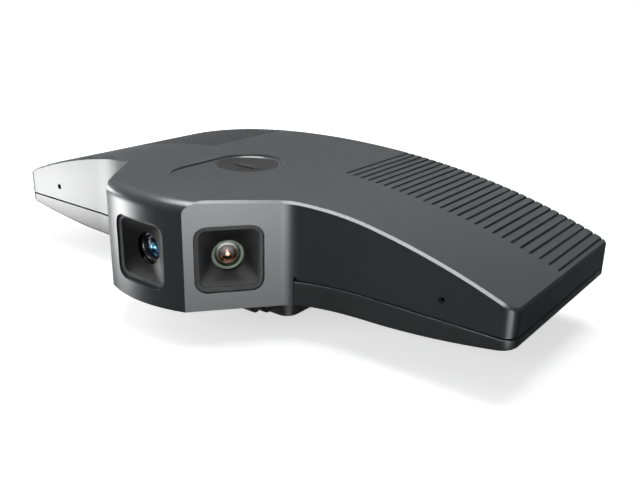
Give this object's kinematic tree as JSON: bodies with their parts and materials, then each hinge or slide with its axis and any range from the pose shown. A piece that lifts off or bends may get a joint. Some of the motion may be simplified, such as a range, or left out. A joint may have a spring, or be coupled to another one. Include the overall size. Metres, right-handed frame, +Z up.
{
  "type": "conference camera",
  "caption": "Low wing-shaped conference camera with a three-faced prow of wide lenses, sliding privacy shutter, ribbed arched top and a folding clip with tripod thread.",
  "frame": {"origin": "under the middle of the casing, on the surface that the clip's pads stand on, on the axis of the tripod thread", "axes": "+X to the object's left wing as it looks forward, -Y the way the centre lens looks, +Z up"},
  "size_m": [0.248, 0.1204, 0.0536],
  "materials": {
    "casing_grey": "satin, dark grey metallic paint over moulded plastic",
    "casing_black": "satin black moulded plastic",
    "frame_grey": "satin dark grey",
    "hood_black": "semi-gloss black with fine facets",
    "ring_green": "fine turned, grey-green anodised",
    "coated_glass": "polished, anti-reflection coating",
    "barrel_black": "black anodised, turned",
    "inner_plastic": "matt black",
    "circuit_board": "solder resist",
    "cast_alloy": "die cast",
    "steel": "plain",
    "black_steel": "black oxide",
    "flex_amber": "polyimide film",
    "grip_rubber": "soft, matt",
    "tinned_steel": "tin plated",
    "thermal_rubber": "soft silicone",
    "sheet_aluminium": "mill finish",
    "lead_rubber": "insulated wire",
    "clip_black": "fine textured black",
    "brass_insert": "turned",
    "pad_rubber": "matt silicone"
  },
  "bodies": {
    "casing": {"top_cover": "casing_grey", "bottom_cover": "casing_black", "window_frame_left": "frame_grey", "window_frame_centre": "frame_grey", "window_frame_right": "frame_grey", "lens_hood_left": "hood_black", "lens_hood_centre": "hood_black", "lens_hood_right": "hood_black", "lens_ring_left": "ring_green", "lens_ring_centre": "ring_green", "lens_ring_right": "ring_green", "front_glass_left": "coated_glass", "front_glass_centre": "coated_glass", "front_glass_right": "coated_glass", "lens_barrel_left": "barrel_black", "lens_barrel_centre": "barrel_black", "lens_barrel_right": "barrel_black", "lens_holder_left": "inner_plastic", "lens_holder_centre": "inner_plastic", "lens_holder_right": "inner_plastic", "sensor_board_left": "circuit_board", "sensor_board_centre": "circuit_board", "sensor_board_right": "circuit_board", "camera_bracket": "cast_alloy", "bracket_screws": "steel", "camera_flexes": "flex_amber", "slider_guide": "inner_plastic", "detent_spring": "steel", "main_board": "circuit_board", "board_screws": "steel", "shield_can": "tinned_steel", "thermal_pad": "thermal_rubber", "heat_spreader": "sheet_aluminium", "usb_socket": "tinned_steel", "mic_board_left": "circuit_board", "mic_board_right": "circuit_board", "mic_boot_left": "grip_rubber", "mic_boot_right": "grip_rubber", "mic_leads": "lead_rubber", "cover_screws": "black_steel", "mount_plate": "clip_black", "mount_screws": "steel", "front_hinge_pin": "steel"},
    "slider": {"privacy_slider": "casing_grey", "slider_grip": "grip_rubber"},
    "shutter": {"shutter_curtain": "inner_plastic"},
    "clip_arm": {"clip_arm": "clip_black", "rear_hinge_pin": "steel"},
    "clip_leg": {"clip_leg": "clip_black", "tripod_insert": "brass_insert", "leg_pads": "pad_rubber"}
  },
  "joints": [
    {"name": "slider_slide", "type": "slide", "parent": "casing", "child": "slider", "axis": [0, -1, 0], "range_m": [0, 0.015]},
    {"name": "shutter_drop", "type": "slide", "parent": "casing", "child": "shutter", "axis": [0, 0, -1], "range_m": [0, 0.0122]},
    {"name": "arm_tilt", "type": "hinge", "parent": "casing", "child": "clip_arm", "pos_m": [0, -0.02363, 0.008], "axis": [-1, 0, 0], "range_deg": [0, 80]},
    {"name": "leg_fold", "type": "hinge", "parent": "clip_arm", "child": "clip_leg", "pos_m": [0, 0.03937, 0.0052], "axis": [1, 0, 0], "range_deg": [0, 140]}
  ],
  "couplings": [
    {"joint": "shutter_drop", "follows": "slider_slide", "ratio": 0.81333}
  ]
}
